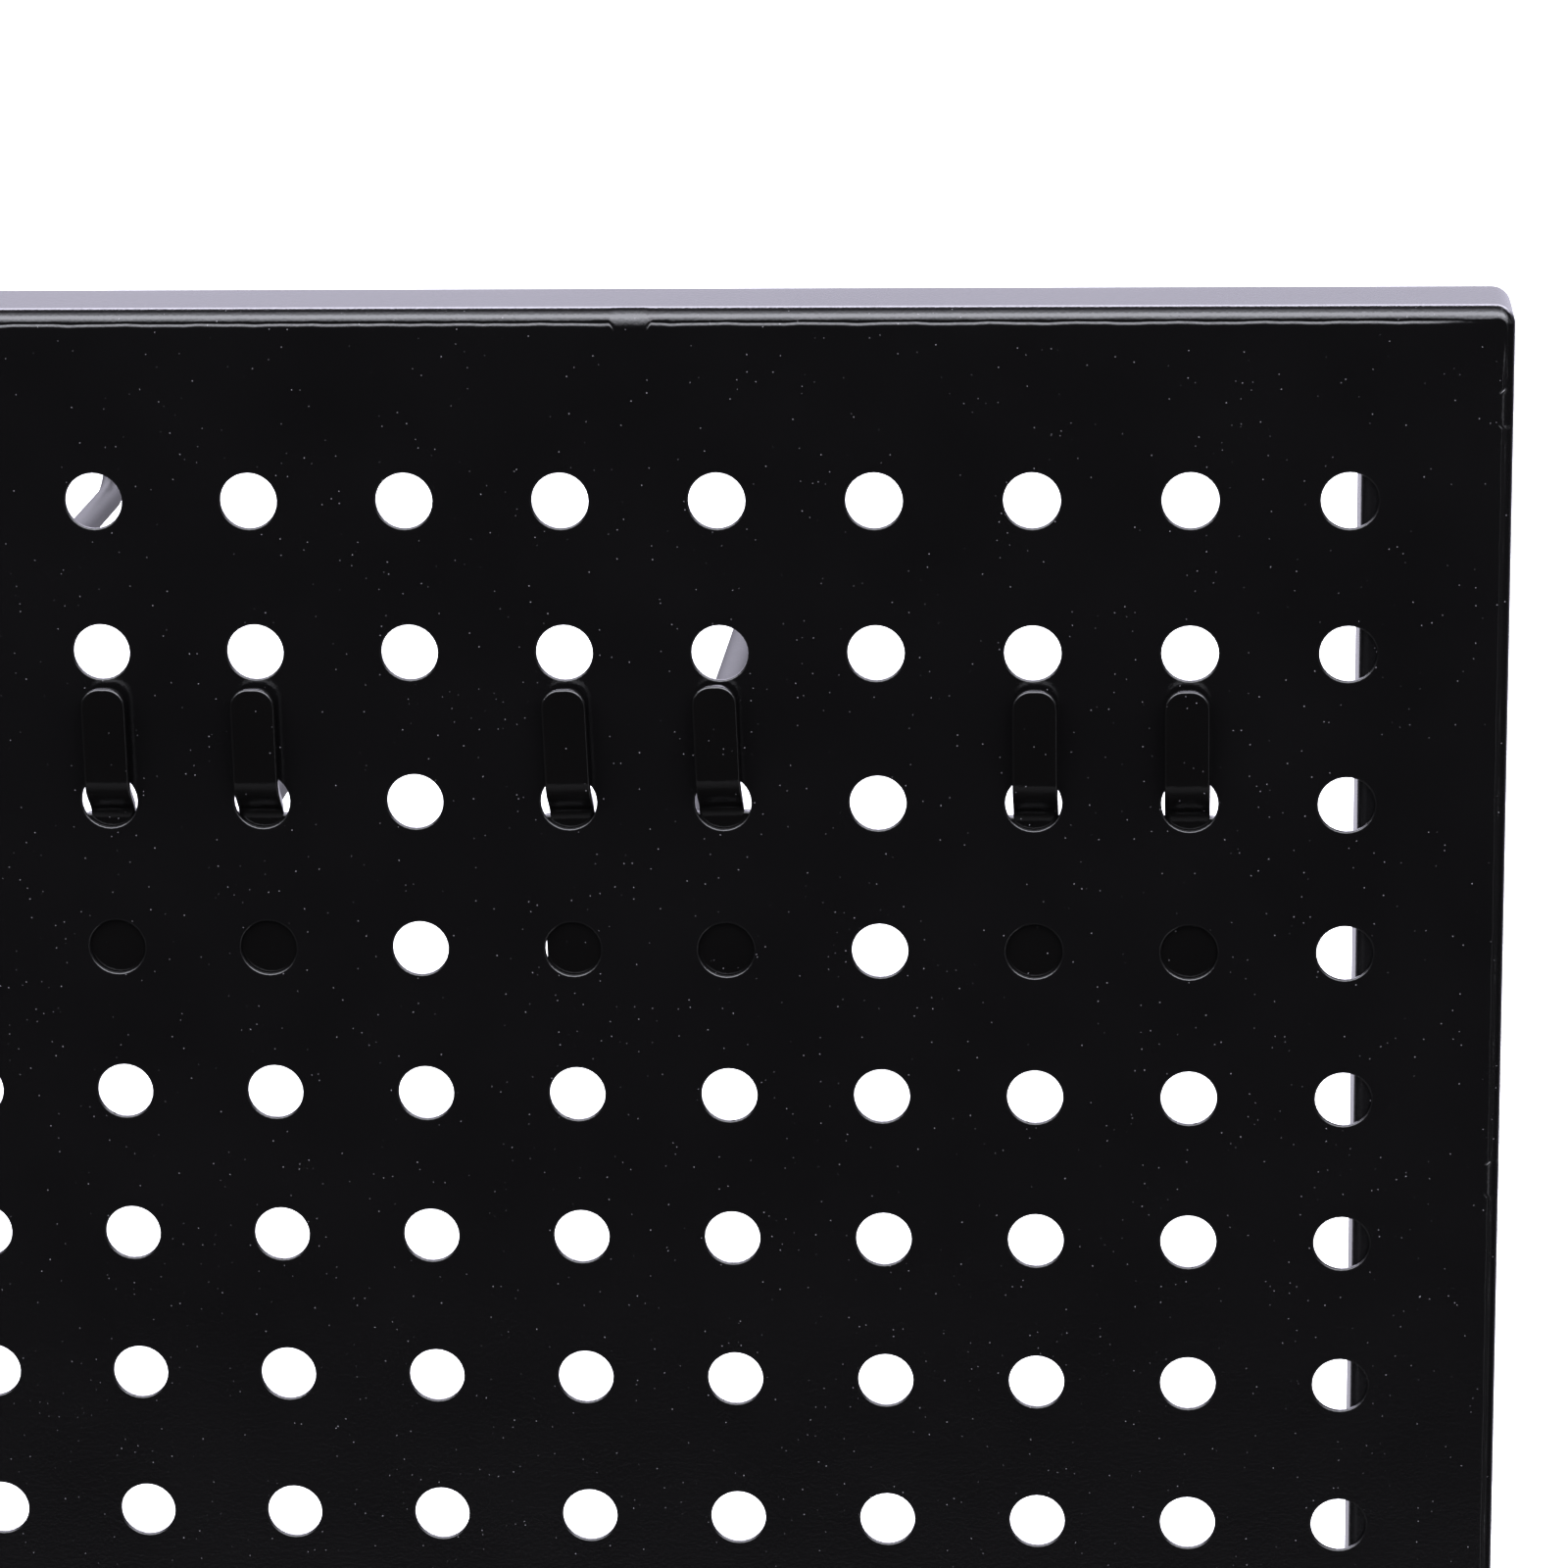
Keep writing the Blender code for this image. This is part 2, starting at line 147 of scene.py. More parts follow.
def powder_coat(name, colour, rough, peel, peel_scale, dust):
    """Semi-gloss powder coat: orange peel, slow gloss changes and specks of dust."""
    mat, tree, bsdf, link, coords = new_material(name)
    fine = node(tree, "ShaderNodeTexNoise", Scale=peel_scale, Detail=2.0, Roughness=0.45)
    broad = node(tree, "ShaderNodeTexNoise", Scale=38.0, Detail=3.0, Roughness=0.55)
    specks = node(tree, "ShaderNodeTexVoronoi", Scale=640.0, Randomness=1.0)
    for tex in (fine, broad, specks):
        link(coords, tex.inputs["Vector"])
    dot = ramp(tree, specks.outputs["Distance"], ((0.0, (1, 1, 1)), (0.045, (1, 1, 1)),
                                                  (0.080, (0, 0, 0))))
    parts = node(tree, "ShaderNodeSeparateColor")
    link(specks.outputs["Color"], parts.inputs["Color"])
    rare = ramp(tree, parts.outputs["Red"], ((0.0, (0, 0, 0)), (0.30, (0, 0, 0)),
                                             (0.70, (1, 1, 1))))
    both = maths(tree, "MULTIPLY", dot.outputs["Color"], rare.outputs["Color"])
    amount = maths(tree, "MULTIPLY", both, dust)
    shade = ramp(tree, broad.outputs["Fac"],
                 ((0.30, tuple(c * 0.90 for c in colour)),
                  (0.70, tuple(c * 1.10 for c in colour))))
    mix = node(tree, "ShaderNodeMix", data_type="RGBA")
    link(amount, mix.inputs[0])
    link(shade.outputs["Color"], mix.inputs[6])
    mix.inputs[7].default_value = DUST_COLOUR
    link(mix.outputs[2], bsdf.inputs["Base Color"])
    gloss = ramp(tree, broad.outputs["Fac"], ((0.30, grey(rough * 0.96)),
                                              (0.70, grey(rough * 1.05))))
    link(gloss.outputs["Color"], bsdf.inputs["Roughness"])
    bumped(tree, bsdf, fine, peel, 0.0004)
    return mat


def zinc_plate(name, tint, rough):
    """Bright plated steel with a faint cloudy passivation and fine tool marks."""
    mat, tree, bsdf, link, coords = new_material(name)
    cloud = node(tree, "ShaderNodeTexNoise", Scale=420.0, Detail=4.0, Roughness=0.6)
    marks = node(tree, "ShaderNodeTexNoise", Scale=2600.0, Detail=2.0, Roughness=0.5)
    for tex in (cloud, marks):
        link(coords, tex.inputs["Vector"])
    warm = (tint[0] * 1.02, tint[1] * 0.97, tint[2] * 0.88)
    shade = ramp(tree, cloud.outputs["Fac"], ((0.35, tint), (0.65, warm)))
    link(shade.outputs["Color"], bsdf.inputs["Base Color"])
    gloss = ramp(tree, cloud.outputs["Fac"], ((0.30, grey(rough * 0.8)),
                                              (0.70, grey(rough * 1.25))))
    link(gloss.outputs["Color"], bsdf.inputs["Roughness"])
    bumped(tree, bsdf, marks, 0.12, 0.0002)
    bsdf.inputs["Metallic"].default_value = 1.0
    return mat


def moulded_plastic(name, colour, rough):
    """Spark-eroded black plastic: an even fine grain over slight flow marks."""
    mat, tree, bsdf, link, coords = new_material(name)
    grain = node(tree, "ShaderNodeTexNoise", Scale=3200.0, Detail=1.0, Roughness=0.5)
    flow = node(tree, "ShaderNodeTexNoise", Scale=90.0, Detail=2.0, Roughness=0.5)
    for tex in (grain, flow):
        link(coords, tex.inputs["Vector"])
    shade = ramp(tree, flow.outputs["Fac"],
                 ((0.3, tuple(c * 0.8 for c in colour)), (0.7, tuple(c * 1.25 for c in colour))))
    link(shade.outputs["Color"], bsdf.inputs["Base Color"])
    gloss = ramp(tree, grain.outputs["Fac"], ((0.3, grey(rough * 0.9)),
                                              (0.7, grey(rough * 1.15))))
    link(gloss.outputs["Color"], bsdf.inputs["Roughness"])
    bumped(tree, bsdf, grain, 0.25, 0.0002)
    return mat


PAINT = powder_coat("powder_black_panel", (0.0016, 0.0015, 0.0016), 0.15, 0.09, 1900.0, 0.32)
TUBE_PAINT = powder_coat("powder_black_tube", (0.0018, 0.0017, 0.0019), 0.20, 0.14, 1500.0, 0.30)
HOOK_PAINT = powder_coat("powder_black_hook", (0.0012, 0.0011, 0.0011), 0.15, 0.08, 1700.0, 0.36)
ROD_PAINT = powder_coat("powder_black_rod", (0.0036, 0.0034, 0.0044), 0.50, 0.10, 1000.0, 0.10)
ROD_PAINT.node_tree.nodes["Principled BSDF"].inputs["Specular IOR Level"].default_value = 0.3
ZINC = zinc_plate("zinc_plate", (0.60, 0.61, 0.63), 0.30)
PLASTIC = moulded_plastic("plug_plastic_grain", (0.012, 0.012, 0.013), 0.55)


# ------------------------------------------------------------ mesh helpers

def to_mesh(bm, name):
    bmesh.ops.remove_doubles(bm, verts=bm.verts, dist=2e-6)
    bmesh.ops.recalc_face_normals(bm, faces=bm.faces)
    mesh = bpy.data.meshes.new(name)
    bm.to_mesh(mesh)
    bm.free()
    return mesh


def piece(mesh, name, mat, body, nodes, sharp_deg=38.0, place=None):
    """Puts a mesh in the scene as a piece that stands for CAD nodes."""
    if place is not None:
        mesh.transform(place)
    ob = bpy.data.objects.new(name, mesh)
    bpy.context.scene.collection.objects.link(ob)
    mesh.materials.clear()
    mesh.materials.append(mat)
    mesh.shade_smooth()
    mesh.set_sharp_from_angle(angle=math.radians(sharp_deg))
    even = ob.modifiers.new("EvenNormals", "WEIGHTED_NORMAL")
    even.keep_sharp = True
    even.weight = 100
    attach(ob, body)
    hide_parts(*nodes)
    return ob


def combined(base, others, kind):
    """The base mesh joined with or cut by the others, as one new mesh."""
    made = [bpy.data.objects.new("tmp", m) for m in (base, *others)]
    for ob in made:
        bpy.context.scene.collection.objects.link(ob)
    for other in made[1:]:
        mod = made[0].modifiers.new("Join", "BOOLEAN")
        mod.operation = kind
        mod.object = other
    bpy.context.view_layer.update()
    graph = bpy.context.evaluated_depsgraph_get()
    result = bpy.data.meshes.new_from_object(made[0].evaluated_get(graph))
    for ob in made:
        mesh = ob.data
        bpy.data.objects.remove(ob, do_unlink=True)
        bpy.data.meshes.remove(mesh)
    return result


def join_rings(bm, one, two, closed=True):
    count = len(one)
    for i in range(count if closed else count - 1):
        j = (i + 1) % count
        corners = list(dict.fromkeys((one[i], one[j], two[j], two[i])))
        if len(corners) > 2:
            bm.faces.new(corners)


def loft(name, sections, ends=True):
    """A closed skin through rings of points; its first and last rings are filled."""
    bm = bmesh.new()
    rings = [[bm.verts.new(p) for p in ring] for ring in sections]
    for one, two in zip(rings, rings[1:]):
        join_rings(bm, one, two)
    if ends:
        bm.faces.new(rings[0])
        bm.faces.new(rings[-1])
    else:
        join_rings(bm, rings[-1], rings[0])
    return to_mesh(bm, name)


def circle_ring(radius, along, sides, axis="Y"):
    """A ring of points about an axis; radius is a number or a function of the angle."""
    ring = []
    for i in range(sides):
        a = 2 * math.pi * i / sides
        r = radius(a) if callable(radius) else radius
        u, v = r * math.cos(a), r * math.sin(a)
        ring.append((u, along, v) if axis == "Y" else (u, v, along))
    return ring


def hexagon(flats, limit=1.0):
    """Radius of a hexagon by angle, no larger than a limit."""
    def radius(a):
        turn = (a + math.pi / 6) % (math.pi / 3) - math.pi / 6
        return min(limit, flats / 2 / math.cos(turn))
    return radius


def arc(cx, cy, radius, a0, a1, steps):
    return [(cx + radius * math.cos(math.radians(a0 + (a1 - a0) * i / steps)),
             cy + radius * math.sin(math.radians(a0 + (a1 - a0) * i / steps)))
            for i in range(steps + 1)]


def rounded_outline(x0, z0, x1, z1, r_low, r_high, steps):
    """Outline points with their inward normals: (x, z, nx, nz)."""
    out = []
    for cx, cz, r, start in ((x1 - r_low, z0 + r_low, r_low, -90),
                             (x1 - r_high, z1 - r_high, r_high, 0),
                             (x0 + r_high, z1 - r_high, r_high, 90),
                             (x0 + r_low, z0 + r_low, r_low, 180)):
        for x, z in arc(cx, cz, r, start, start + 90, steps):
            out.append((x, z, (cx - x) / r, (cz - z) / r))
    return out


def cross_hole(x, name, reach):
    """A cutter along X at one place for the clearance hole of a named M5 screw."""
    low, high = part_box(name)
    centre = (low + high) / 2
    hole = loft("hole", [circle_ring(M5_CLEAR_R, along, 24) for along in (-reach, reach)])
    hole.transform(Matrix.Translation((x, centre.y, centre.z))
                   @ Matrix.Rotation(math.pi / 2, 4, "Z"))
    return hole


def edge_roll(thick, edge, steps=3):
    """(inset, depth) pairs across a rounded edge from the front face to the back."""
    front = [(edge * (1 - math.sin(math.pi / 2 * k / steps)),
              edge * (1 - math.cos(math.pi / 2 * k / steps))) for k in range(steps + 1)]
    return front + [(inset, thick - depth) for inset, depth in reversed(front)]


def slab(name, outline, thick, edge):
    """A flat stamping between y 0 and y thick with rolled edges."""
    return loft(name, [[(x + nx * inset, depth, z + nz * inset) for x, z, nx, nz in outline]
                       for inset, depth in edge_roll(thick, edge)])


# ------------------------------------------------------------------- panel

TOP_GAPS = (-0.1134, 0.0406)
SIDE_GAPS = (-0.2012, -0.0600, 0.0812, 0.2224)
GAP_HALF = 0.0031
GAP_FADE = 0.0013
FOLD_R = 0.00245
PRESS_FADE = 0.010
SIDE_SQUEEZE = 0.72
FACE_INSET = 0.0046


def punched_cells(bm, sides=32):
    """Every hole with its rolled front rim, its bore and its exit edge."""
    rings = ((HOLE_R + 0.00034, 0.0), (HOLE_R + 0.00018, 0.00003),
             (HOLE_R + 0.00006, 0.00012), (HOLE_R, 0.00028), (HOLE_R, SHEET - 0.00006),
             (HOLE_R + 0.00006, SHEET))
    for row in range(ROWS):
        for col in range(COLS):
            cx, cz = GRID_X + col * PITCH, ROW0_Z - row * PITCH
            square = [square_point(i, sides, PITCH / 2) for i in range(sides)]
            loops = [[bm.verts.new((cx + x, FACE_Y, cz + z)) for x, z in square]]
            for radius, depth in rings:
                ring = circle_ring(radius, FACE_Y + depth, sides)
                loops.append([bm.verts.new((cx + x, y, cz + z)) for x, y, z in ring])
            loops.append([bm.verts.new((cx + x, FACE_Y + SHEET, cz + z)) for x, z in square])
            for one, two in zip(loops, loops[1:]):
                join_rings(bm, one, two)


def square_point(i, sides, half):
    """The point of a square's edge that lies in the direction of a circle's point i."""
    a = 2 * math.pi * i / sides
    c, s = math.cos(a), math.sin(a)
    k = half / max(abs(c), abs(s))
    return c * k, s * k


def fold_profile():
    """Points from the flat face over the press line and round the fold to the lip, then
    back along the inside: (inset, depth, inset in a tool gap, depth there, base)."""
    r, soft, inner = FOLD_R, 0.0034, FOLD_R - SHEET
    pressed = ((FACE_INSET, 0.0), (0.0037, 0.0), (0.0033, 0.0), (0.0030, 0.00001),
               (0.00284, 0.00003), (0.00263, 0.00012), (0.00252, 0.00017), (0.00244, 0.000185),
               (0.00232, 0.00016), (0.00216, 0.00006))
    pts = [(inset, depth, FACE_INSET - 0.0012 * i / len(pressed), 0.0, 0.0)
           for i, (inset, depth) in enumerate(pressed)]
    for i in range(13):
        a = math.radians(8 + 82 * i / 12)
        deep = r - r * math.cos(a)
        loose = math.radians(7.5 * i)
        pts.append((r - r * math.sin(a), deep, soft - soft * math.sin(loose),
                    r - r * math.cos(loose), 0.0))
    for inset, depth in ((0.0, 0.006), (0.0, 0.012), (0.0, 0.0177), (0.00008, 0.0179),
                         (0.0003, 0.018), (0.0005, 0.018), (0.00072, 0.0179),
                         (SHEET, 0.0177), (SHEET, 0.012)):
        pts.append((inset, depth, inset, depth, 0.0))
    for i in range(7):
        a = math.radians(90 - 15 * i)
        inset = SHEET + inner - inner * math.sin(a)
        depth = SHEET + inner - inner * math.cos(a)
        pts.append((inset, depth, inset, depth, SHEET))
    pts.append((FACE_INSET, SHEET, FACE_INSET, SHEET, FACE_INSET))
    return pts


def gap_amount(at, gaps):
    """1 in a gap between two segments of the folding tool, 0 away from it."""
    near = min(abs(at - gap) for gap in gaps)
    t = min(1.0, max(0.0, (GAP_HALF + GAP_FADE / 2 - near) / GAP_FADE))
    return t * t * (3 - 2 * t)


def side_stations(half, gaps, seed):
    """(along, gap amount, wander) down one side, closer together round each tool gap."""
    spots = {round(-half + 2 * half * i / 150, 6) for i in range(151)}
    for gap in gaps:
        for k in range(-24, 25):
            if abs(gap + k * 0.00025) < half:
                spots.add(round(gap + k * 0.00025, 6))
    return [(t, gap_amount(t, gaps), wander(t, seed)) for t in sorted(spots)]


def wander(t, seed):
    """How far the press line strays from straight, in metres."""
    return (0.00006 * math.sin(t * 410 + seed) + 0.00005 * math.sin(t * 957 + seed * 2.3)
            + 0.00003 * math.sin(t * 2130 + seed * 3.1))


def outline_stations():
    """Clockwise round the pan: (x, z, inward normal, diagonal, gap, stray, press, squeeze)."""
    hx, hz, mid = HALF_W, (PAN_TOP - PAN_LOW) / 2, (PAN_TOP + PAN_LOW) / 2
    sides = (((0, 1), (1, 0), TOP_GAPS), ((1, 0), (0, -1), SIDE_GAPS),
             ((0, -1), (-1, 0), TOP_GAPS), ((-1, 0), (0, 1), SIDE_GAPS))
    out = []
    for seed, (outward, along, gaps) in enumerate(sides):
        far, half = (hx, hz) if outward[0] else (hz, hx)
        squeeze = SIDE_SQUEEZE if outward[0] else 1.0
        after = 1.0 if outward[0] else SIDE_SQUEEZE
        here = gaps if sum(along) > 0 else [-g for g in gaps]
        straight = half - FACE_INSET - 0.0006
        for t, gap, stray in side_stations(straight, here, seed):
            press = min(1.0, (straight - abs(t)) / PRESS_FADE)
            out.append((outward[0] * far + along[0] * t, mid + outward[1] * far + along[1] * t,
                        (-outward[0], -outward[1]), (0, 0), gap, stray, press, squeeze))
        turn = (outward[0] + along[0], outward[1] + along[1])
        cx, cz = turn[0] * (hx - CORNER_R), mid + turn[1] * (hz - CORNER_R)
        for i in range(13):
            a = math.radians(7.5 * i)
            u = (outward[0] * math.cos(a) + along[0] * math.sin(a),
                 outward[1] * math.cos(a) + along[1] * math.sin(a))
            out.append((cx + CORNER_R * u[0], cz + CORNER_R * u[1], (-u[0], -u[1]),
                        (-turn[0], -turn[1]), 0.0, 0.0, 0.0,
                        squeeze + (after - squeeze) * i / 12))
    return out


def fold_point(station, profile_point):
    x, z, (nx, nz), (dx, dz), gap, stray, press, squeeze = station
    inset, depth, soft_inset, soft_depth, base = profile_point
    if base == 0 and 0.0021 < inset < 0.0031:
        inset += stray
        depth *= press
    inset += (soft_inset - inset) * gap
    depth += (soft_depth - depth) * gap
    if inset < FACE_INSET:
        inset = base + (inset - base) * squeeze
    past = max(0.0, inset - (CORNER_R - 0.0003)) if dx else 0.0
    inset -= past
    return (x + nx * inset + dx * past, FACE_Y + depth, z + nz * inset + dz * past)


def fill_border(bm, outer, y):
    """Fills between the cells and the inner edge of the fold."""
    x1, z1, z0 = -GRID_X + PITCH / 2, ROW0_Z + PITCH / 2, ROW0_Z - (ROWS - 0.5) * PITCH
    near = 2e-6
    on_rim = [v for v in bm.verts if abs(v.co.y - y) < near and v not in outer
              and (abs(abs(v.co.x) - x1) < near or min(abs(v.co.z - z0), abs(v.co.z - z1)) < near)
              and abs(v.co.x) < x1 + near and z0 - near < v.co.z < z1 + near]
    mid = (z0 + z1) / 2
    inner = sorted(on_rim, key=lambda v: way_round(v.co.x / x1, (v.co.z - mid) / (z1 - mid)))
    edges = []
    for loop in (inner, outer):
        for a, b in zip(loop, loop[1:] + loop[:1]):
            edges.append(bm.edges.get((a, b)) or bm.edges.new((a, b)))
    bmesh.ops.triangle_fill(bm, use_beauty=True, edges=edges, normal=(0, -1, 0))


def way_round(u, w):
    """How far round a square a point on its edge lies."""
    if abs(u) > abs(w):
        return w if u > 0 else 4 - w
    return 2 - u if w > 0 else 6 + u


def make_panel():
    bm = bmesh.new()
    punched_cells(bm)
    bmesh.ops.remove_doubles(bm, verts=bm.verts, dist=2e-6)
    stations = outline_stations()
    rows = [[bm.verts.new(fold_point(station, point)) for station in stations]
            for point in fold_profile()]
    for one, two in zip(rows, rows[1:]):
        join_rings(bm, one, two)
    fill_border(bm, rows[0], FACE_Y)
    fill_border(bm, rows[-1], FACE_Y + SHEET)
    mesh = combined(to_mesh(bm, "panel_skin"), panel_cutters(), "DIFFERENCE")
    return piece(mesh, "panel_skin", PAINT, "wall", ["panel"], 50.0)


def panel_cutters():
    """Clearance for the uprights in the lower fold, and the holes in the side folds."""
    cutters = []
    for side, label in ((-1, "left"), (1, "right")):
        low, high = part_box("upright_" + label)
        inner, outer = sorted((abs(low.x), abs(high.x)))
        slack_in, slack_out = 0.00105, 0.00015
        a, b = side * (inner - slack_in), side * (outer + slack_out)
        outline = rounded_outline(min(a, b), PAN_LOW - 0.004, max(a, b), PAN_LOW + 0.0037,
                                  0.0005, 0.0012, 4)
        notch = slab("notch", outline, 0.020, 0.0001)
        notch.transform(Matrix.Translation((0, FACE_Y + SHEET + 0.00015, 0)))
        cutters.append(notch)
        for number in (1, 2):
            screw = "panel_screw_%s_%d" % (label, number)
            cutters.append(cross_hole(side * HALF_W, screw, 0.002))
    return cutters


# ---------------------------------------------------------------- uprights

def square_ring(half, radius, along, steps=8):
    return [(x, y, along) for x, y, _, _ in
            rounded_outline(-half, -half, half, half, radius, radius, steps)]


def make_upright(label, side):
    name = "upright_" + label
    low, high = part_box(name)
    centre = (low + high) / 2
    half, wall, nose = (high.x - low.x) / 2, 0.00125, 0.0002
    outer = [square_ring(half - nose, 0.0018, low.z), square_ring(half, 0.002, low.z + nose),
             square_ring(half, 0.002, high.z - nose), square_ring(half - nose, 0.0018, high.z)]
    inner = [square_ring(half - wall, 0.00075, high.z), square_ring(half - wall, 0.00075, low.z)]
    tube = loft(name + "_tube", outer + inner, ends=False)
    tube.transform(Matrix.Translation((centre.x, centre.y, 0)))
    cutters = []
    for number in (1, 2):
        screw = "panel_screw_%s_%d" % (label, number)
        cutters.append(cross_hole(centre.x + side * half, screw, 0.004))
        bolt_low, bolt_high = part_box("bench_screw_%s_%d" % (label, number))
        hole = loft("hole", [circle_ring(M8_CLEAR_R, along, 32) for along in (-0.0175, 0.0175)])
        hole.transform(Matrix.Translation((centre.x, centre.y, (bolt_low.z + bolt_high.z) / 2)))
        cutters.append(hole)
    mesh = combined(tube, cutters, "DIFFERENCE")
    return piece(mesh, name + "_tube", TUBE_PAINT, "wall", [name])


def make_plug(label, top):
    """A moulded end cap: ribbed stem, stepped head, domed crown, sunk gate mark."""
    name = "plug_%s_%s" % ("top" if top else "foot", label)
    low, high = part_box(name)
    half, height, head = (high.x - low.x) / 2, high.z - low.z, 0.003
    stem = half - 0.00155
    rings = [square_ring(stem - 0.0008, 0.0008, 0.0), square_ring(stem - 0.0004, 0.001, 0.0015)]
    for rib in range(3):
        z = 0.0030 + rib * 0.0035
        rings += [square_ring(stem - 0.0004, 0.001, z), square_ring(stem, 0.0012, z + 0.0006),
                  square_ring(stem, 0.0012, z + 0.0010),
                  square_ring(stem - 0.0004, 0.001, z + 0.0016)]
    step = height - head
    rings += [square_ring(stem, 0.0012, step - 0.0002), square_ring(half - 0.0002, 0.0018, step),
              square_ring(half, 0.002, step + 0.0002)]
    for inset, rise in arc(0.0018, 0.0, 0.0018, 180, 90, 6):
        rings.append(square_ring(half - inset, max(0.0004, 0.002 - inset * 0.6),
                                 height - 0.0019 + rise))
    rings += [square_ring(half * 0.6, 0.001, height - 0.00003), square_ring(0.0016, 0.0012, height),
              square_ring(0.0013, 0.0010, height - 0.00025)]
    mesh = loft(name + "_cap", rings)
    flip = Matrix.Identity(4) if top else Matrix.Rotation(math.pi, 4, "X")
    base = low.z if top else high.z
    middle = (low + high) / 2
    place = Matrix.Translation((middle.x, middle.y, base)) @ flip
    return piece(mesh, name + "_cap", PLASTIC, "wall", [name], 40.0, place)


# --------------------------------------------------------------- fasteners

def make_panel_screw(label, side, number):
    """M5 button head with a hexagon socket."""
    name = "panel_screw_%s_%d" % (label, number)
    low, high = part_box(name)
    centre = (low + high) / 2
    sides, r, head_r, head_h = 36, 0.0025, 0.00475, 0.0026
    rings = [circle_ring(r - 0.0005, 0.010, sides), circle_ring(r, 0.0095, sides)]
    rings += [circle_ring(r, 0.0004, sides), circle_ring(r + 0.0003, 0.0, sides),
              circle_ring(head_r - 0.0002, 0.0, sides), circle_ring(head_r, -0.0002, sides)]
    for i in range(1, 9):
        a = math.radians(90 * i / 8)
        rings.append(circle_ring(0.0023 + (head_r - 0.0023) * math.cos(a),
                                 -0.0003 - (head_h - 0.0003) * math.sin(a), sides))
    rings += [circle_ring(hexagon(0.0033, 0.00195), -head_h, sides),
              circle_ring(hexagon(0.0030), -head_h + 0.0002, sides),
              circle_ring(hexagon(0.0030), -0.0010, sides), circle_ring(0.0003, -0.0006, sides)]
    mesh = loft(name + "_button", rings)
    edge = high.x if side > 0 else low.x
    place = (Matrix.Translation((edge - side * head_h, centre.y, centre.z))
             @ Matrix.Rotation(side * math.pi / 2, 4, "Z"))
    return piece(mesh, name + "_button", ZINC, "wall", [name], 30.0, place)


def make_washer(label, number):
    name = "bench_washer_%s_%d" % (label, number)
    low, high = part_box(name)
    thick, outer, inner, nose = high.y - low.y, (high.x - low.x) / 2, M8_CLEAR_R, 0.00025
    profile = [(inner, nose), (inner + nose, 0.0), (outer - nose, 0.0), (outer - 0.00007, 0.00007),
               (outer, nose), (outer, thick - nose), (outer - nose, thick),
               (inner + nose, thick), (inner, thick - nose)]
    mesh = loft(name + "_ring", [circle_ring(r, y, 48) for r, y in profile], ends=False)
    place = Matrix.Translation(((low.x + high.x) / 2, low.y, (low.z + high.z) / 2))
    return piece(mesh, name + "_ring", ZINC, "wall", [name], 40.0, place)


def make_bench_screw(label, number):
    """M8 hexagon wood screw: chamfered head, plain neck, rolled thread, gimlet point."""
    name = "bench_screw_%s_%d" % (label, number)
    low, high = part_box(name)
    sides, flats, head_h, r, lead = 48, 0.013, 0.0053, 0.004, 0.0035
    end = high.y - low.y
    rings = [circle_ring(0.0030, 0.0002, sides), circle_ring(0.0055, 0.0002, sides),
             circle_ring(0.00595, 0.0, sides)]
    for depth in (0.0002, 0.0004, 0.0006, 0.0008, 0.0045):
        rings.append(circle_ring(hexagon(flats, 0.0061 + depth * 1.75), depth, sides))
    rings += [circle_ring(hexagon(flats, 0.0073), head_h - 0.0001, sides),
              circle_ring(hexagon(flats, 0.0070), head_h, sides),
              circle_ring(r + 0.0004, head_h, sides), circle_ring(r, head_h + 0.0005, sides)]
    start, tip = head_h + 0.026, 0.008
    rings.append(circle_ring(r, start, sides))
    steps = 150
    for i in range(1, steps + 1):
        y = start + (end - start) * i / steps
        rings.append(circle_ring(thread_radius(y, start, end, tip, r, lead), y, sides))
    mesh = loft(name + "_coach", rings)
    place = Matrix.Translation(((low.x + high.x) / 2, low.y, (low.z + high.z) / 2))
    return piece(mesh, name + "_coach", ZINC, "wall", [name], 42.0, place)


def thread_radius(y, start, end, tip, r, lead):
    """Radius by angle of a wood thread that fades in at the neck and out at the point."""
    taper = min(1.0, max(0.12, (end - y) / tip))
    fade = min(1.0, (y - start) / 0.003)

    def radius(a):
        phase = (y / lead - a / (2 * math.pi)) % 1.0
        ridge = max(0.0, 1 - abs(phase - 0.5) / 0.26)
        core = r * (1 - 0.27 * fade)
        return taper * (core + (r - core) * ridge)
    return radius


# ------------------------------------------------------------------- hooks

def tongue_path():
    """Stations up the middle of a tongue: (y, z, lean from upright)."""
    half, turn = HOOK_T / 2, math.radians(JOG_DEG)
    y_tab, y_plate = -TAB_REAR - half, SHEET + PLATE_GAP + half
    run = (y_plate - y_tab - 2 * JOG_R * (1 - math.cos(turn))) / math.sin(turn)
    reach = SHEET - (y_plate - JOG_R)
    z_end = NECK_LOW - math.sqrt(max((JOG_R - half) ** 2 - reach ** 2, 0.0))
    z_start = z_end + 2 * JOG_R * math.sin(turn) + run * math.cos(turn)
    spots = [(y_plate, z_end - 0.0012, 0.0), (y_plate, z_end, 0.0)]
    steps = 10
    for i in range(1, steps + 1):
        a = turn * i / steps
        spots.append((y_plate - JOG_R * (1 - math.cos(a)), z_end + JOG_R * math.sin(a), a))
    for i in range(steps + 1):
        a = turn * (1 - i / steps)
        spots.append((y_tab + JOG_R * (1 - math.cos(a)), z_start - JOG_R * math.sin(a), a))
    for i in range(1, 5):
        spots.append((y_tab, z_start + (TAB_TOP - TAB_CORNER_R - z_start) * i / 4, 0.0))
    for _, rise in arc(0, 0, TAB_CORNER_R, 0, 90, 10)[1:]:
        spots.append((y_tab, TAB_TOP - TAB_CORNER_R + rise, 0.0))
    return spots


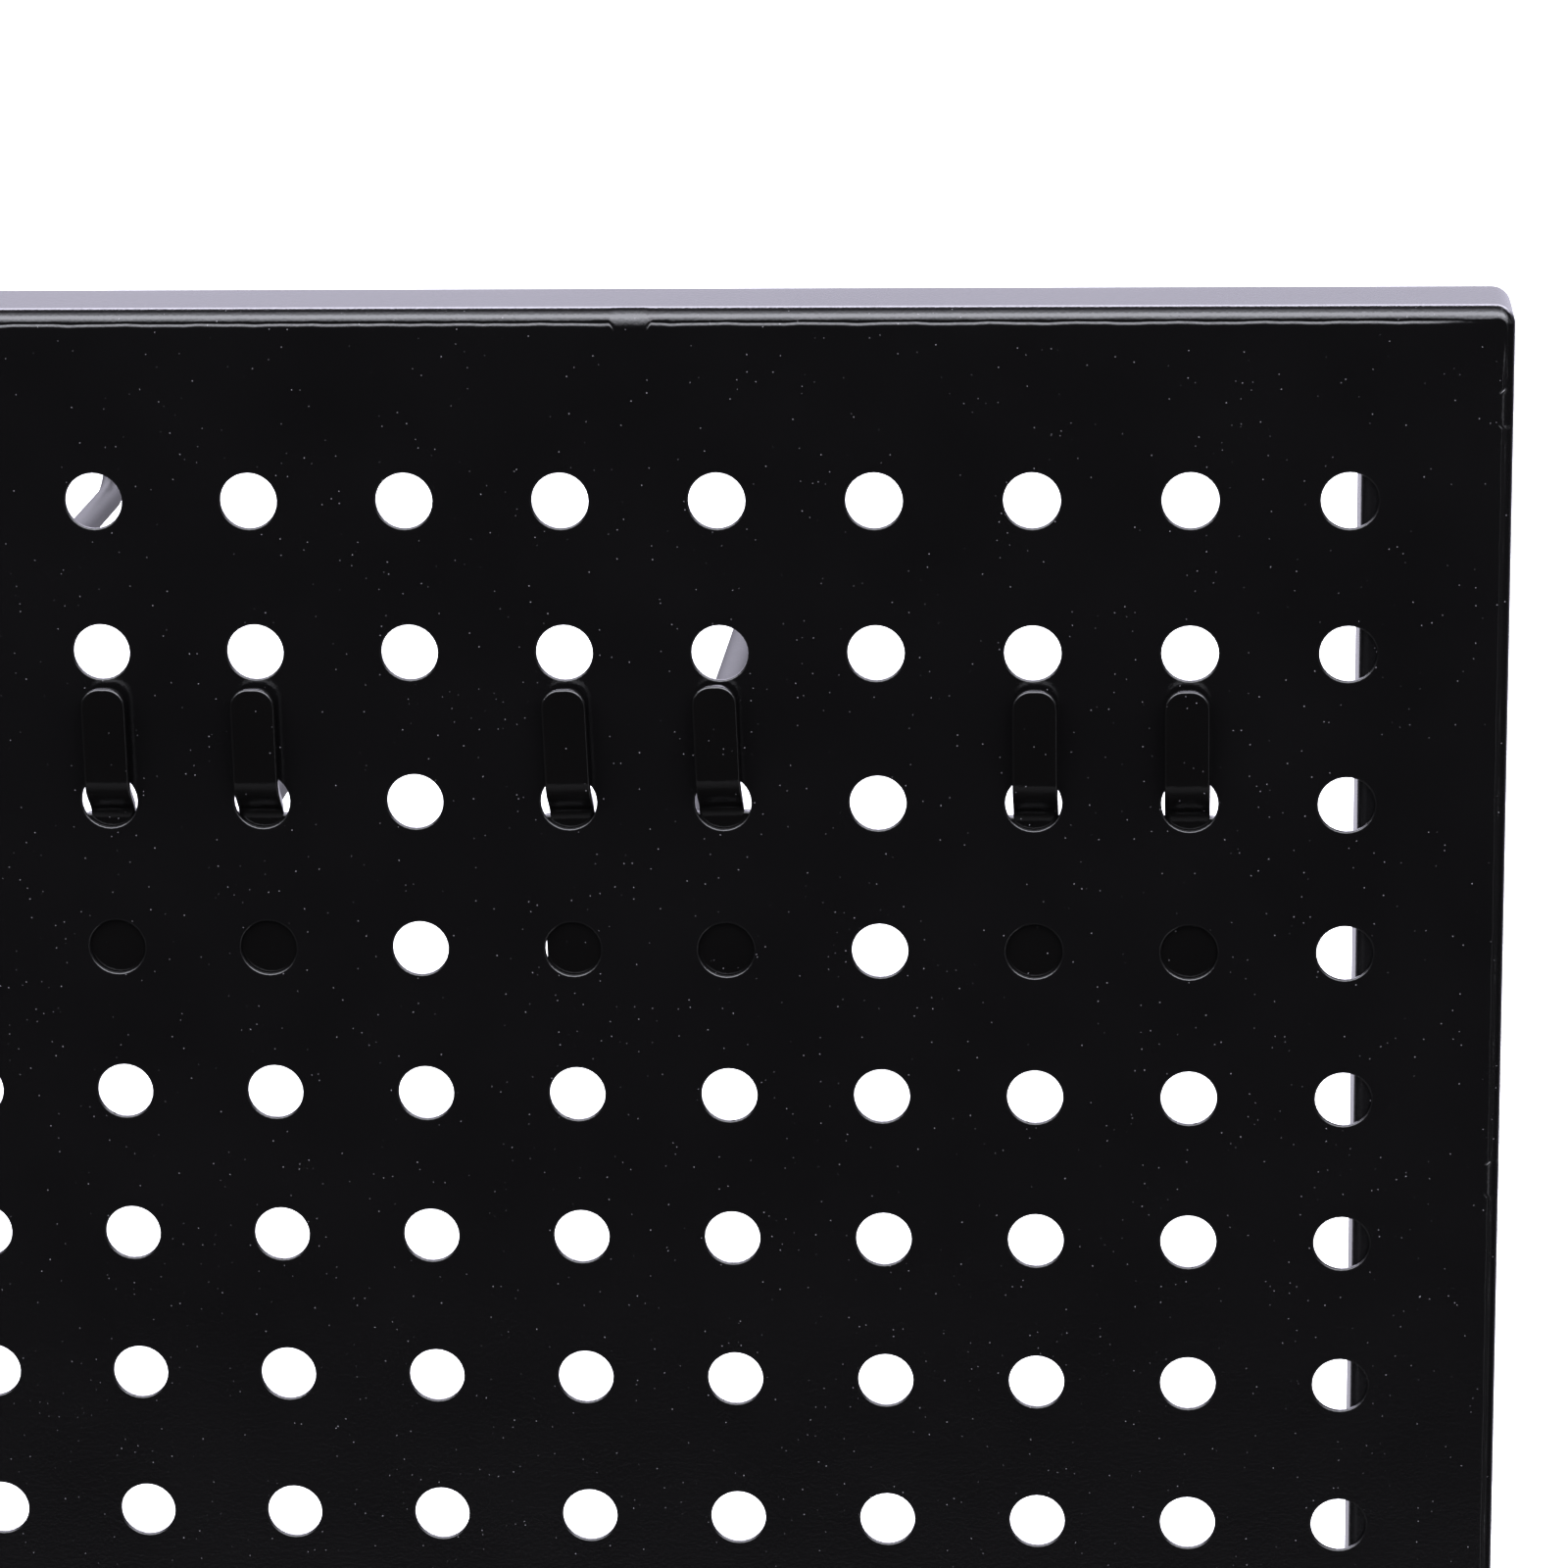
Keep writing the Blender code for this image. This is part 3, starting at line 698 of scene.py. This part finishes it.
def tongue_edge(steps=6):
    """(inset, depth) across a tongue's edge: a broad die roll in front, a tight one behind."""
    wide, deep, burr, shear = 0.00040, 0.00034, 0.0002, 0.10
    turns = [math.pi / 2 * k / steps for k in range(steps + 1)]
    front = [(wide * (1 - math.sin(a)), deep * (1 - math.cos(a))) for a in turns]
    rear = [(burr * (1 - math.cos(a)), HOOK_T - burr * (1 - math.sin(a))) for a in turns[::2]]
    return [(inset + shear * max(0.0, depth - deep), depth) for inset, depth in front + rear]


def make_tongue(x0):
    """One tongue with rolled edges and a round-cornered top, its root inside the plate."""
    path, half, r = tongue_path(), TAB_W / 2, TAB_CORNER_R
    side = []
    for y, z, lean in path:
        rise = max(0.0, z - (TAB_TOP - r))
        level = math.sqrt(max(r * r - rise * rise, 0.0))
        side.append((half - r + level, y, z, lean, -level / r if rise else -1.0, -rise / r))
    ring = [(-x, y, z, a, -nx, nz) for x, y, z, a, nx, nz in side] + list(reversed(side))
    bm = bmesh.new()
    loops = []
    for inset, depth in tongue_edge():
        loop = []
        for i, (x, y, z, a, nx, nz) in enumerate(ring):
            at_root = i in (0, len(ring) - 1)
            n = (depth - HOOK_T / 2) * (0.8 if at_root else 1.0)
            keep = 0.96 if at_root else 1.0
            loop.append(bm.verts.new((x0 + (x + nx * inset) * keep, y + n * math.cos(a),
                                      z + n * math.sin(a) + nz * inset)))
        loops.append(loop)
    for one, two in zip(loops, loops[1:]):
        join_rings(bm, one, two, closed=False)
    count = len(ring)
    for loop in (loops[0], loops[-1]):
        for i in range(count // 2 - 1):
            bm.faces.new((loop[i], loop[i + 1], loop[count - 2 - i], loop[count - 1 - i]))
    for one, two in zip(loops, loops[1:]):
        bm.faces.new((one[0], two[0], two[-1], one[-1]))
    return to_mesh(bm, "tongue")


def make_plate(number, place):
    outline = rounded_outline(-PLATE_W / 2, PLATE_LOW, PLATE_W / 2, PLATE_TOP, 0.003, 0.0015, 8)
    plate = slab("plate", outline, HOOK_T, 0.0003)
    plate.transform(Matrix.Translation((0, SHEET + PLATE_GAP, 0)))
    tongues = [make_tongue(side * TAB_SPACING / 2) for side in (-1, 1)]
    mesh = combined(plate, tongues, "UNION")
    return piece(mesh, "hook_%d_stamping" % number, HOOK_PAINT, "hook_%d" % number,
                 ["hook_%d_plate" % number], 34.0, place)


def make_rod(number, yaw, place):
    """Round bar from its weld on the plate to a short upturned tip."""
    start = SHEET + PLATE_GAP + HOOK_T
    droop, top = math.radians(ROD_DROOP_DEG), math.radians(ROD_BEND_DEG)
    flat = [(start + t, 0.0, 0.0) for t in (-0.0002, 0.0003, 0.0007, 0.0012, 0.0018, 0.0026)]
    flat += [(start + (ROD_REACH - start) * i / 12, 0.0, 0.0) for i in range(1, 13)]
    for i in range(1, 21):
        a = top * i / 20
        flat.append((ROD_REACH + ROD_BEND_R * math.sin(a), ROD_BEND_R * (1 - math.cos(a)), a))
    y, z, _ = flat[-1]
    for short in (0.0009, 0.0004, 0.0001, 0.0):
        along = ROD_TIP - short
        flat.append((y + along * math.cos(top), z + along * math.sin(top), top))
    bead = (0.0016, 0.0016, 0.0013, 0.0008, 0.0003, 0.0)
    nose = (0.0, 0.00012, 0.0005, 0.0011)
    nose_from = len(flat) - len(nose)
    sections = []
    for i, (y, z, a) in enumerate(flat):
        swell = bead[i] if i < len(bead) else 0.0
        cut = nose[i - nose_from] if i >= nose_from else 0.0
        cy = start + (y - start) * math.cos(droop) + z * math.sin(droop)
        cz = z * math.cos(droop) - (y - start) * math.sin(droop) - ROD_DROP
        lean = a - droop
        ring = []
        for k in range(32):
            t = 2 * math.pi * k / 32
            r = ROD_R - cut + swell * (1 + 0.12 * math.sin(9 * t + number))
            u, v = r * math.cos(t), r * math.sin(t)
            ring.append((u + cy * math.tan(math.radians(yaw)), cy - v * math.sin(lean),
                         cz + v * math.cos(lean)))
        sections.append(ring)
    mesh = loft("rod", sections)
    return piece(mesh, "hook_%d_bar" % number, ROD_PAINT, "hook_%d" % number,
                 ["hook_%d_rod" % number], 50.0, place)


def make_hook(number, col, lean, lift, yaw):
    place = (Matrix.Translation((col * PITCH, FACE_Y, ROW0_Z - 2 * PITCH + lift))
             @ Matrix.Rotation(math.radians(lean), 4, "Y"))
    make_plate(number, place)
    make_rod(number, yaw, place)


# ------------------------------------------------- floor, light and camera

FLOOR_HALF_W, FLOOR_NEAR, FLOOR_FAR = 6, -0.45, 9
FLOOR_GLOW = 0.62


def make_floor():
    """A pale floor, level with the object's lowest point."""
    bm = bmesh.new()
    z = CAD_BOX[0].z
    corners = ((-FLOOR_HALF_W, FLOOR_NEAR), (FLOOR_HALF_W, FLOOR_NEAR),
               (FLOOR_HALF_W, FLOOR_FAR), (-FLOOR_HALF_W, FLOOR_FAR))
    bm.faces.new([bm.verts.new((x, y, z)) for x, y in corners])
    mesh = to_mesh(bm, "floor")
    floor = bpy.data.objects.new("floor", mesh)
    bpy.context.scene.collection.objects.link(floor)
    mat = bpy.data.materials.new("floor_pale")
    mat.use_nodes = True
    bsdf = mat.node_tree.nodes["Principled BSDF"]
    bsdf.inputs["Base Color"].default_value = (0.8, 0.8, 0.8, 1)
    bsdf.inputs["Roughness"].default_value = 0.9
    bsdf.inputs["Emission Color"].default_value = (1, 1, 1, 1)
    bsdf.inputs["Emission Strength"].default_value = FLOOR_GLOW
    mesh.materials.append(mat)
    floor.visible_glossy = False


def turn_at(elevation):
    """Place on the studio's band of an elevation measured up from level behind."""
    return 0.25 + elevation / 360


# Brightness by elevation in degrees: 0 is level behind the wall, 90 overhead, 180 level in
# front of it. The band is dark at its two ends, straight below.
STUDIO = ((-40, 0.5), (-16, 1.0), (-3, 1.2), (6, 1.35), (16, 1.5), (22, 3.8), (30, 7.0),
          (40, 9.4), (47, 8.0), (54, 0.5), (70, 0.18), (82, 0.2), (98, 2.0), (113, 4.0),
          (125, 10.5), (145, 10.5), (153, 6.0), (165, 3.5), (172, 1.5), (178, 0.1),
          (183, 0.02), (205, 0.02), (210, 0.28), (222, 0.20), (242, 0.04))
STUDIO_DARK, STUDIO_PEAK = 0.02, 12.0
TINT = ((0.0, (0.97, 0.96, 1.0)), (0.25, (0.85, 0.82, 1.0)), (0.42, (0.88, 0.86, 1.0)),
        (0.55, (0.91, 0.91, 1.0)), (0.74, (0.91, 0.92, 1.0)), (1.0, (0.97, 0.96, 1.0)))
# Across from left (0) to right (1): a faint glow at the left, an upright strip light at the right.
STRIPS = ((0.0, 0.06), (0.28, 0.06), (0.36, 0), (0.65, 0), (0.685, 1), (0.72, 1),
          (0.755, 0.02), (1.0, 0.02))
STRIP_POWER = 1.2
# The softbox and the bright wall end to the left and right.
ENDS = ((0.0, 0.06), (0.10, 0.06), (0.20, 1), (0.80, 1), (0.90, 0.06), (1.0, 0.06))


def grey_ramp(tree, source, stops):
    return ramp(tree, source, [(at, grey(v)) for at, v in stops]).outputs["Color"]


def studio_light(tree, direction):
    """Strength and tint of the light that comes from a direction."""
    split = node(tree, "ShaderNodeSeparateXYZ")
    tree.links.new(direction, split.inputs[0])
    roll = maths(tree, "ARCTAN2", split.outputs["Z"], split.outputs["Y"])
    turn = maths(tree, "MULTIPLY_ADD", roll, 1 / (2 * math.pi), turn_at(0))
    turn = maths(tree, "FRACT", turn)
    across = maths(tree, "MULTIPLY_ADD", split.outputs["X"], 0.5, 0.5)
    dark = STUDIO_DARK / STUDIO_PEAK
    band = [(turn_at(degrees), v / STUDIO_PEAK) for degrees, v in STUDIO]
    glow = grey_ramp(tree, turn, [(0.0, dark), *band, (1.0, dark)])
    glow = maths(tree, "MULTIPLY", glow, STUDIO_PEAK)
    held = maths(tree, "MULTIPLY", glow, grey_ramp(tree, across, ENDS))
    strips = grey_ramp(tree, across, STRIPS)
    strength = maths(tree, "MULTIPLY_ADD", strips, STRIP_POWER, held)
    return strength, ramp(tree, turn, TINT).outputs["Color"]


def make_world():
    """A studio by direction: a bright wall behind, a long softbox high in front."""
    world = bpy.data.worlds.new("studio")
    bpy.context.scene.world = world
    world.use_nodes = True
    tree = world.node_tree
    link = tree.links.new
    tree.nodes.clear()
    direction = node(tree, "ShaderNodeTexCoord").outputs["Generated"]
    strength, tint = studio_light(tree, direction)
    around = node(tree, "ShaderNodeBackground")
    link(tint, around.inputs["Color"])
    link(strength, around.inputs["Strength"])
    plain = node(tree, "ShaderNodeBackground", Color=(1, 1, 1, 1), Strength=1.0)
    rays = node(tree, "ShaderNodeLightPath")
    choose = node(tree, "ShaderNodeMixShader")
    link(rays.outputs["Is Camera Ray"], choose.inputs[0])
    link(around.outputs[0], choose.inputs[1])
    link(plain.outputs[0], choose.inputs[2])
    out = node(tree, "ShaderNodeOutputWorld")
    link(choose.outputs[0], out.inputs["Surface"])


LENS_MM, SENSOR_MM = 128.27, 36.0
CLIP_NEAR, CLIP_FAR = 0.05, 40.0
VIEW_RIGHT = (0.99729, 0.07134, -0.01775)
VIEW_AHEAD = (-0.07344, 0.95545, -0.28589)
VIEW_PITCHES = (11.036, -34.341, 8.4035)  # from the top left hole, in hole pitches


def make_camera():
    data = bpy.data.cameras.new("view")
    data.lens, data.sensor_width = LENS_MM, SENSOR_MM
    data.clip_start, data.clip_end = CLIP_NEAR, CLIP_FAR
    cam = bpy.data.objects.new("view", data)
    right, ahead = Vector(VIEW_RIGHT).normalized(), Vector(VIEW_AHEAD).normalized()
    up = right.cross(ahead).normalized()
    right = ahead.cross(up)
    place = Matrix((right, up, -ahead)).transposed().to_4x4()
    corner = (GRID_X, FACE_Y, ROW0_Z)
    place.translation = [at + n * PITCH for at, n in zip(corner, VIEW_PITCHES)]
    cam.matrix_world = place
    bpy.context.scene.collection.objects.link(cam)
    bpy.context.scene.camera = cam


# ------------------------------------------------------------------- scene

bpy.context.scene.view_settings.view_transform = "Standard"
make_camera()
make_world()
make_floor()
make_panel()
for LABEL, SIDE in (("left", -1), ("right", 1)):
    make_upright(LABEL, SIDE)
    make_plug(LABEL, True)
    make_plug(LABEL, False)
    for NUMBER in (1, 2):
        make_panel_screw(LABEL, SIDE, NUMBER)
        make_washer(LABEL, NUMBER)
        make_bench_screw(LABEL, NUMBER)
        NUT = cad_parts["weld_nut_%s_%d" % (LABEL, NUMBER)]
        for SLOT in NUT.material_slots:
            SLOT.material = ZINC
for NUMBER, (COL, LEAN, LIFT, YAW) in enumerate(HOOKS, 1):
    make_hook(NUMBER, COL, LEAN, LIFT, YAW)
